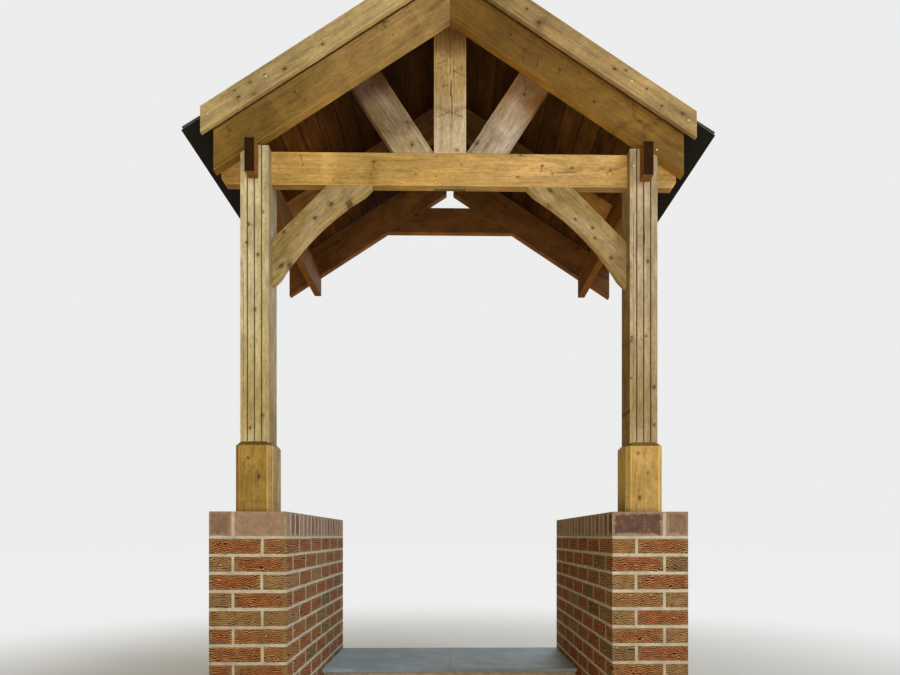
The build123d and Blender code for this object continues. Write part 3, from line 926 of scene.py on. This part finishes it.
def dwarf_wall(side):
    """All bricks of one wall, built as the right-hand one from its inner face outwards."""
    random.seed(41 if side == "left" else 43)
    low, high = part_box("right_dwarf_wall")
    inner, outer, front, back = low.x, high.x, low.y, high.y
    header = outer - inner - JOINT - BRICK_LONG
    courses = round((high.z - low.z) / COURSE)
    bm = bmesh.new()
    for i in range(courses):
        z = low.z + i * COURSE
        from_top = courses - 1 - i
        stretcher_tone, header_tone = front_tones[side][from_top]
        shift = random.uniform(-0.002, 0.002)
        # each row starts with the length and tone of its front brick; by turns the stretcher lies outside
        rows, inner_wide = [(BRICK_WIDE, stretcher_tone), (BRICK_LONG, header_tone)], BRICK_LONG
        if from_top % 2 == 0:
            rows, inner_wide = rows[::-1], header
        split_at = inner + inner_wide + shift
        for (length, tone), (x_low, x_high) in zip(rows, ((inner, split_at), (split_at + JOINT, outer))):
            for y, end in row(front, back, length, BRICK_LONG):
                lay(bm, (x_low, y, z), (x_high, end, z + BRICK_HIGH), tone if y == front else brick_tone())
    return mirror_left(bm, side)


for side in SIDES:
    node = side + "_dwarf_wall"
    keep(side + "_wall_bricks", dwarf_wall(side), [facing_brick], "brickwork", node)
    mortar_core(side + "_wall_mortar", node, "brickwork")
print("dwarf walls laid")

# %% [markdown]
# ## Copings
# A row of bricks on edge caps each wall, a whole brick on the inner side and a part brick on the outer.

# %% Coping bricks
def coping(side):
    random.seed(51 if side == "left" else 52)
    low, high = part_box("right_coping")
    split_at = low.x + BRICK_LONG
    bm = bmesh.new()
    tones = {"left": (0.12, 0.62), "right": (0.95, 0.66)}[side]  # of the front bricks
    for y, end in row(low.y, high.y, BRICK_HIGH, BRICK_HIGH):
        whole, part = tones if y == low.y else (random.uniform(0, 0.9), random.uniform(0, 0.9))
        lay(bm, (low.x, y, low.z), (split_at, end, high.z), whole, arris=0.0025, uneven=0)
        lay(bm, (split_at + JOINT, y, low.z), (high.x, end, high.z), part, arris=0.0025, uneven=0)
    return mirror_left(bm, side)


for side in SIDES:
    node = side + "_coping"
    keep(side + "_coping_bricks", coping(side), [coping_finish], "coping_brick", node)
    mortar_core(side + "_coping_mortar", node, "coping_brick", top_inset=0.003)
print("copings laid")

# %% [markdown]
# ## Doorstep
# Two courses of brick and a bed of mortar carry two pale blue-grey paving slabs with a pointed joint
# between them. The slabs keep their CAD solids, which already have the rounded front edge.

# %% Doorstep
random.seed(61)
low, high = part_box("step_riser")
bm = bmesh.new()
for z, length in ((low.z, BRICK_LONG), (low.z + COURSE, BRICK_WIDE)):
    for x, end in row(low.x, high.x, length, BRICK_LONG):
        lay(bm, (x, low.y, z), (end, low.y + BRICK_WIDE, z + BRICK_HIGH), brick_tone())
keep("riser_bricks", bm, [facing_brick], "brickwork", "step_riser")
mortar_core("riser_mortar", "step_riser", "brickwork")

joint_back, joint_high = 0.006, 0.018
slab_low, slab_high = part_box("right_step_slab")
bm = bmesh.new()
add_block(bm, Vector((-slab_low.x, slab_low.y + joint_back, slab_low.z)),
          Vector((slab_low.x, slab_high.y, slab_low.z + joint_high)))
keep("slab_joint", bm, [mortar], "step_stone")

stone, place, _ = new_material("blue-grey paving stone")
fleck = speckle(place, 300, 4, 0.7)
cloud = speckle(place, 9, 4, 0.6)
color = blend(step(cloud, 0.3, 0.7), srgb(147, 166, 182), srgb(172, 190, 202))
color = blend(step(fleck, 0.55, 0.75, 0, 0.45), color, srgb(101, 114, 123))
finish(stone, color, times_plus(fleck, 0.2, 0.5), fleck, 0.0008, gloss=0.25)
for side in SIDES:
    coat(side + "_step_slab", stone)
print("doorstep laid")

# %% [markdown]
# ## Slates, underlay and ridge
# Seen from below, the roof's overhangs are black: that is the underlay on the battens. Above it lie slates
# in courses, each tail on the back of the course below, with the joints staggered by half a slate.

# %% Roof covering
def mineral(name, pale, deep, scale, shine):
    material, place, _ = new_material(name)
    layers = speckle(place, scale, 5, 0.65, 0.6)
    factor = plus(times(layers, 0.5), times(speckle(place, 6, 3), 0.3))
    factor = times_plus(attribute("tone", place), 0.3, factor)
    color = blend(step(factor, 0.3, 0.75), srgb(*deep), srgb(*pale))
    return finish(material, color, times_plus(layers, 0.25, shine), layers, 0.0015)


slate = mineral("dark grey slate", (92, 96, 102), (48, 50, 56), 45, 0.42)
felt = mineral("black underlay", (22, 19, 14), (9, 8, 6), 60, 0.75)
ridge_clay = mineral("dark ridge clay", (84, 82, 82), (46, 44, 44), 90, 0.6)
lead = mineral("weathered lead", (138, 142, 146), (96, 100, 106), 30, 0.45)

covering_base = 0.072
covering_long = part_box("right_roof_covering")[1].x / math.cos(pitch)
underlay_thick, slate_thick = 0.0014, 0.0036
gauge, slate_wide, slate_gap = 0.196, 0.25, 0.0015
slate_long, slate_rise = 2 * gauge, 2.15 * slate_thick


def roof_slates(side):
    random.seed(71 if side == "left" else 72)
    bm = bmesh.new()
    tone = bm.faces.layers.float.new("tone")
    base = covering_base + underlay_thick
    # the plumb cuts at ridge and eaves lean the higher layers back
    lean = -(base + 3.2 * slate_thick) * math.tan(pitch)
    tail = covering_long
    for course in range(math.ceil(covering_long / gauge) + 1):
        head = max(tail - slate_long, 0)
        low_up = base + (slate_rise if course else 0)
        y = roof_front - (slate_wide / 2 if course % 2 else 0)
        while y < roof_back - 0.001:
            left, right = max(y, roof_front), min(y + slate_wide - slate_gap, roof_back)
            if right - left > 0.03 and tail > 0.05:
                foot = tail + lean + random.uniform(-0.0015, 0)
                add_toned(bm, tone, [(head + lean, base), (foot, low_up), (foot, low_up + slate_thick),
                                     (head + lean, base + slate_thick)], left, right)
            y += slate_wide
        if course:
            tail -= gauge
    return finish_bars(bm, side)


def underlay(side):
    bm = bmesh.new()
    top = covering_base + underlay_thick
    head = -top * math.tan(pitch)
    foot = head + covering_long
    add_profile(bm, [(head, covering_base), (foot, covering_base), (foot, top), (head, top)],
                roof_front, roof_back)
    return finish_bars(bm, side)


for side in SIDES:
    node = side + "_roof_covering"
    keep(side + "_roof_slates", roof_slates(side), [slate], "slate", node)
    keep(side + "_underlay", underlay(side), [felt], "slate", node)
    eased(side + "_wall_flashing", lead, "lead_sheet", arris=0.0008)
print("slates laid")

# %% Ridge tiles
tile_tones = (0.2, 0.7, 0.4)
half_joint = 0.003
ridge_low, ridge_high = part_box("ridge_cap")
tile_long = (ridge_high.y - ridge_low.y) / len(tile_tones)
bm = merged("ridge_cap")
bevel(bm, sharp_edges(bm), 0.004)
for i in range(1, len(tile_tones)):
    for shift in (-half_joint, half_joint):
        bmesh.ops.bisect_plane(bm, geom=bm.verts[:] + bm.edges[:] + bm.faces[:],
                               plane_co=(0, ridge_low.y + i * tile_long + shift, 0), plane_no=(0, 1, 0))
tone = bm.faces.layers.float.new("tone")
joint_faces = 0
for face in bm.faces:
    tiles_along = (face.calc_center_median().y - ridge_low.y) / tile_long
    face[tone] = tile_tones[min(int(tiles_along), 2)]
    if min(abs(tiles_along - 1), abs(tiles_along - 2)) < half_joint / tile_long and len(face.verts) > 3:
        face.material_index = 1
        joint_faces += 1
keep("ridge_tiles", bm, [ridge_clay, mortar], "ridge_clay", "ridge_cap")
print("ridge tiles with", joint_faces, "joint faces")

# %% [markdown]
# ## Nail heads
# A few bright nail heads show on the post cheeks, the rafters and the bargeboards.

# %% Nail heads
steel, place, _ = new_material("bright nail steel")
scuff = speckle(place, 900, 2)
finish(steel, blend(scuff, srgb(226, 226, 222), srgb(244, 244, 240)), times_plus(scuff, 0.2, 0.35), scuff,
       0.0004, Metallic=0.5)
post_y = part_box("right_post")[0].y + 0.019
rafter_y, barge_y = (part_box(node)[0].y for node in ("right_front_rafter", "right_bargeboard"))
nail_places = [(0.79, post_y, 2.492), (0.891, rafter_y, 2.562), (1.021, barge_y, 2.676),
               (-1.023, barge_y, 2.682), (-0.779, barge_y, 2.844), (0.776, barge_y, 2.84)]
bm = bmesh.new()
for x, y, z in nail_places:
    made = bmesh.ops.create_cone(bm, cap_ends=True, cap_tris=False, segments=14, radius1=0.0042,
                                 radius2=0.003, depth=0.0014)
    bmesh.ops.rotate(bm, verts=made["verts"], matrix=Matrix.Rotation(math.pi / 2, 3, "X"))
    bmesh.ops.translate(bm, verts=made["verts"], vec=(x, y - 0.0005, z))
keep("nail_heads", bm, [steel], "frame_timber")
print("nail heads", len(nail_places))

# %% [markdown]
# ## Floor, light and camera
# A pale floor and soft, daylight-like lamps stand in for the garden. A large lamp high on the right is the
# brightest, a warmer one stands in front, and one just above the floor stands for light that paving throws
# up under the roof. Two more light the back and the left slope. The camera stands where the photograph was
# taken, level, with its lens shifted upwards so that the posts stay upright.

# %% Floor and world
pale_floor, place, _ = new_material("pale studio floor")
to_camera = new_node("LightPath", place).outputs["Is Camera Ray"]
backdrop = srgb(236, 237, 236)
far_off = step(vec("LENGTH", place), 1.6, 5)
near_by = minus(1, far_off)
seen = scaled(blend(speckle(place, 3), srgb(226, 226, 222), srgb(230, 230, 228)), near_by)
finish(pale_floor, blend(to_camera, srgb(234, 210, 170), seen), 0.9, gloss=0.1, Emission_Strength=1,
       Emission_Color=scaled(backdrop[:3], times(far_off, to_camera)))

bm = bmesh.new()
bmesh.ops.create_circle(bm, cap_ends=True, segments=64, radius=40)
new_object("studio_floor", bm, [pale_floor])

world = bpy.data.worlds.new("studio sky")
bpy.context.scene.world = world
world.use_nodes = True
sky = world.node_tree.nodes["Background"].inputs
to_camera = world.node_tree.nodes.new("ShaderNodeLightPath").outputs["Is Camera Ray"]
put(sky["Color"], blend(to_camera, srgb(226, 200, 154), backdrop))
put(sky["Strength"], times_plus(to_camera, 0.72, 0.28))


# %% Lamps and camera
def lamp(name, place, aim, size, power, color):
    data = bpy.data.lights.new(name, "AREA")
    data.shape, data.size, data.energy, data.color = "DISK", size, power, color
    light = place_in_scene(name, data)
    light.location = place
    light.rotation_euler = (Vector(aim) - Vector(place)).to_track_quat("-Z", "Y").to_euler()
    light.visible_camera = False


lamp("key lamp", (7, -4.6, 4.8), (0, -0.4, 1.7), 4, 425, (0.81, 0.91, 1))
lamp("front lamp", (-0.5, -6.5, 1.3), (0, -0.4, 1.7), 2.5, 80, (1, 0.94, 0.86))
lamp("ground glow", (0, -4.3, 0.03), (0, -4.3, 3), 3.6, 112, (1, 0.93, 0.84))
lamp("back lamp", (2.6, 7.5, 5.2), (0, 0, 1.5), 4, 260, (0.84, 0.92, 1))
lamp("roof lamp", (-3.5, 0.5, 7.5), (0, 0, 2), 2, 78, (0.92, 0.96, 1))

# the photograph's size and its focal length and optical centre, in its pixels
picture_wide, picture_high = 900, 675
focal, centre_x, centre_y = 591.28, 458.88, 536.56
film_wide = 36
camera = place_in_scene("camera", bpy.data.cameras.new("camera"))
camera.location = (0.0004, -3.1171, 0.8979)
camera.rotation_euler = (math.pi / 2, 0.0, math.radians(-0.852))
camera.data.sensor_width = film_wide
camera.data.lens = focal / picture_wide * film_wide
camera.data.shift_x = (picture_wide / 2 - centre_x) / picture_wide
camera.data.shift_y = (centre_y - picture_high / 2) / picture_wide
camera.data.clip_start = 0.05
bpy.context.scene.camera = camera
bpy.context.scene.view_settings.view_transform = "Standard"
print("camera lens", round(camera.data.lens, 2), "mm, shift", round(camera.data.shift_y, 3))
